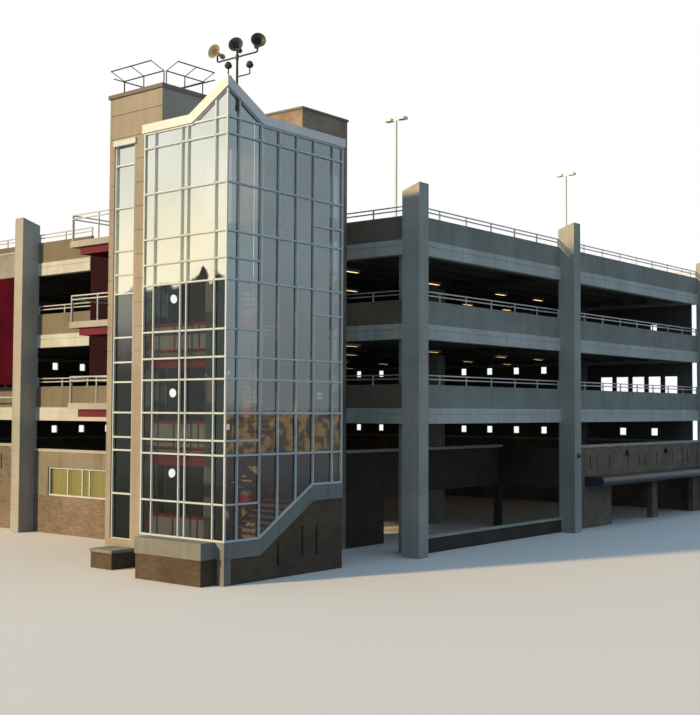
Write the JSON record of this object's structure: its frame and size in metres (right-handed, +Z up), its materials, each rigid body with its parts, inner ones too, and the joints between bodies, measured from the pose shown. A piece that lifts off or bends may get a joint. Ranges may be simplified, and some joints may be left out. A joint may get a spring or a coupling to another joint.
{
  "type": "multi storey car park",
  "caption": "Open-deck multi storey car park with a glazed stair tower, a lift shaft, a brick core and concrete fins between its parapets.",
  "frame": {"origin": "middle of the foot of the concrete post at the glazed stair tower's street corner, on the ground", "axes": "+X to the right along the front, +Y back along the right-hand side, +Z up"},
  "size_m": [32.3694, 38.43, 18.91],
  "materials": {
    "concrete": "matt, weathered",
    "precast": "matt, weathered",
    "pale_concrete": "matt",
    "panel_concrete": "matt",
    "brick": "matt",
    "white_frame": "satin",
    "clear_glass": "clear",
    "grey_metal": "satin",
    "galvanised": "dull",
    "red_steel": "satin",
    "red_panel": "satin",
    "slate_metal": "matt",
    "banner_cloth": "woven"
  },
  "bodies": {
    "root": {"deck_2": "concrete", "deck_3": "concrete", "deck_roof": "concrete", "front_spandrels": "precast", "rear_spandrels": "precast", "right_spandrels": "precast", "left_spandrels": "precast", "piers": "precast", "inner_columns": "concrete", "middle_beams": "concrete", "parapet_rails": "galvanised", "right_brick_wall": "brick", "brick_walls": "brick", "arcade_walls": "brick", "office_wall": "precast", "window_frames": "white_frame", "window_glass": "clear_glass", "wall_copings": "pale_concrete", "awning": "slate_metal", "tower_brick_base": "brick", "tower_concrete_base": "pale_concrete", "plinths": "brick", "plinth_caps": "pale_concrete", "tower_frame_front": "white_frame", "tower_frame_right": "white_frame", "tower_frame_inner": "white_frame", "tower_glass": "clear_glass", "tower_cap": "grey_metal", "tower_roof": "grey_metal", "tower_landings": "concrete", "stair_treads": "concrete", "stair_steel": "red_steel", "far_screens": "concrete", "lift_shaft": "panel_concrete", "shaft_lids": "pale_concrete", "brick_core": "brick", "landing_slabs": "concrete", "landing_channels": "red_steel", "landing_guards": "galvanised", "upright_panel": "red_panel", "banner": "banner_cloth", "banner_rods": "galvanised", "roof_lights": "galvanised", "shaft_guards": "galvanised", "lamp_mast": "galvanised"}
  },
  "joints": []
}
